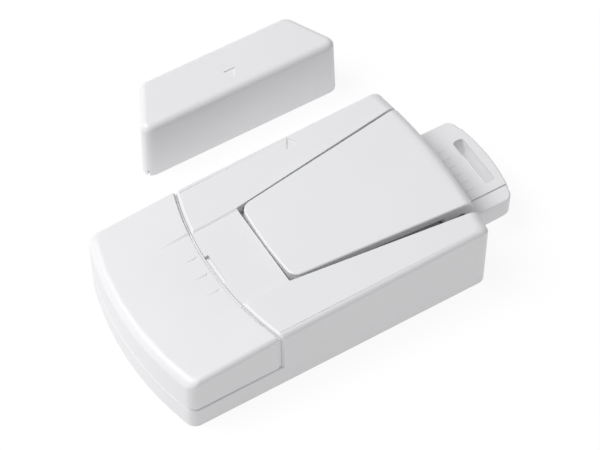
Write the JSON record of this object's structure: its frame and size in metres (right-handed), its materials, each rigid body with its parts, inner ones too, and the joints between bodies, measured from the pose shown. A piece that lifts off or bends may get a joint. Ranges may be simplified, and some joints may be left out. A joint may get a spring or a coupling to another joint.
{
  "type": "door contact sensor",
  "caption": "White door contact alarm: low bowed body with sliding battery cover, sprung belt clip and slotted pull tab, and a separate tapered magnet unit beside it.",
  "frame": {"origin": "middle of the sensor unit's back face, which lies on the wall or door frame", "axes": "+X along the sensor towards the pull tab, +Y across to the magnet unit, +Z away from the wall"},
  "size_m": [0.1106, 0.0922, 0.0242],
  "materials": {
    "white_abs": "fine satin white ABS",
    "foam_tape": "closed-cell adhesive foam",
    "spring_steel": "bright steel",
    "nickel_plate": "nickel plate",
    "sounder_brass": "plain brass disc",
    "sounder_ceramic": "silvered ceramic",
    "bar_magnet": "sintered ferrite",
    "board_green": "green solder mask",
    "component_black": "moulded black",
    "resistor_tan": "lacquered",
    "copper_winding": "enamelled copper",
    "reed_glass": "clear green glass",
    "cell_jacket": "plain cell jacket",
    "wire_red": "insulated wire",
    "wire_black": "insulated wire"
  },
  "bodies": {
    "sensor": {"housing": "white_abs", "back_plate": "white_abs", "sensor_pad_1": "foam_tape", "sensor_pad_2": "foam_tape", "clip_pin": "spring_steel", "clip_spring": "spring_steel", "plate_screw_1": "spring_steel", "plate_screw_2": "spring_steel", "plate_screw_3": "spring_steel", "plate_screw_4": "spring_steel", "board_screw_1": "spring_steel", "board_screw_2": "spring_steel", "contact_bridge": "nickel_plate", "contact_negative": "nickel_plate", "contact_positive": "nickel_plate", "contact_spring_1": "nickel_plate", "contact_spring_2": "nickel_plate", "switch_blade_lower": "nickel_plate", "crystal": "nickel_plate", "switch_base": "component_black", "sounder_cup": "component_black", "control_chip": "component_black", "capacitor": "component_black", "transistor": "component_black", "sounder_disc": "sounder_brass", "sounder_ceramic": "sounder_ceramic", "circuit_board": "board_green", "reed_switch": "reed_glass", "boost_coil": "copper_winding", "resistor_1": "resistor_tan", "resistor_2": "resistor_tan", "resistor_3": "resistor_tan", "battery_cell_1": "cell_jacket", "battery_cell_2": "cell_jacket", "wire_positive": "wire_red", "wire_negative": "wire_black", "wire_sounder_1": "wire_red", "wire_sounder_2": "wire_black"},
    "cover": {"battery_cover": "white_abs"},
    "clip": {"belt_clip": "white_abs"},
    "tab": {"pull_tab": "white_abs"},
    "blade": {"switch_blade_upper": "nickel_plate"},
    "magnet_unit": {"magnet_housing": "white_abs", "magnet_bar": "bar_magnet", "magnet_lid": "white_abs", "magnet_pad": "foam_tape"}
  },
  "joints": [
    {"name": "clip_hinge", "type": "hinge", "parent": "sensor", "child": "clip", "pos_m": [0.0423, 0, 0.01925], "axis": [0, 1, 0], "range_deg": [0, 20], "stiffness_Nm_per_rad": 0.25, "springref_deg": -20.05},
    {"name": "tab_pull", "type": "slide", "parent": "sensor", "child": "tab", "axis": [1, 0, 0], "range_m": [0, 0.034]},
    {"name": "cover_slide", "type": "slide", "parent": "sensor", "child": "cover", "axis": [-1, 0, 0], "range_m": [0, 0.028]},
    {"name": "blade_close", "type": "hinge", "parent": "sensor", "child": "blade", "pos_m": [0.0131, 0, 0.0093], "axis": [0, 1, 0], "range_deg": [0, 9]},
    {"name": "magnet_slide", "type": "slide", "parent": "sensor", "child": "magnet_unit", "axis": [0, 1, 0], "range_m": [-0.016, 0.04]}
  ],
  "couplings": [
    {"joint": "blade_close", "follows": "tab_pull", "rad_per_m": 4.6176}
  ]
}
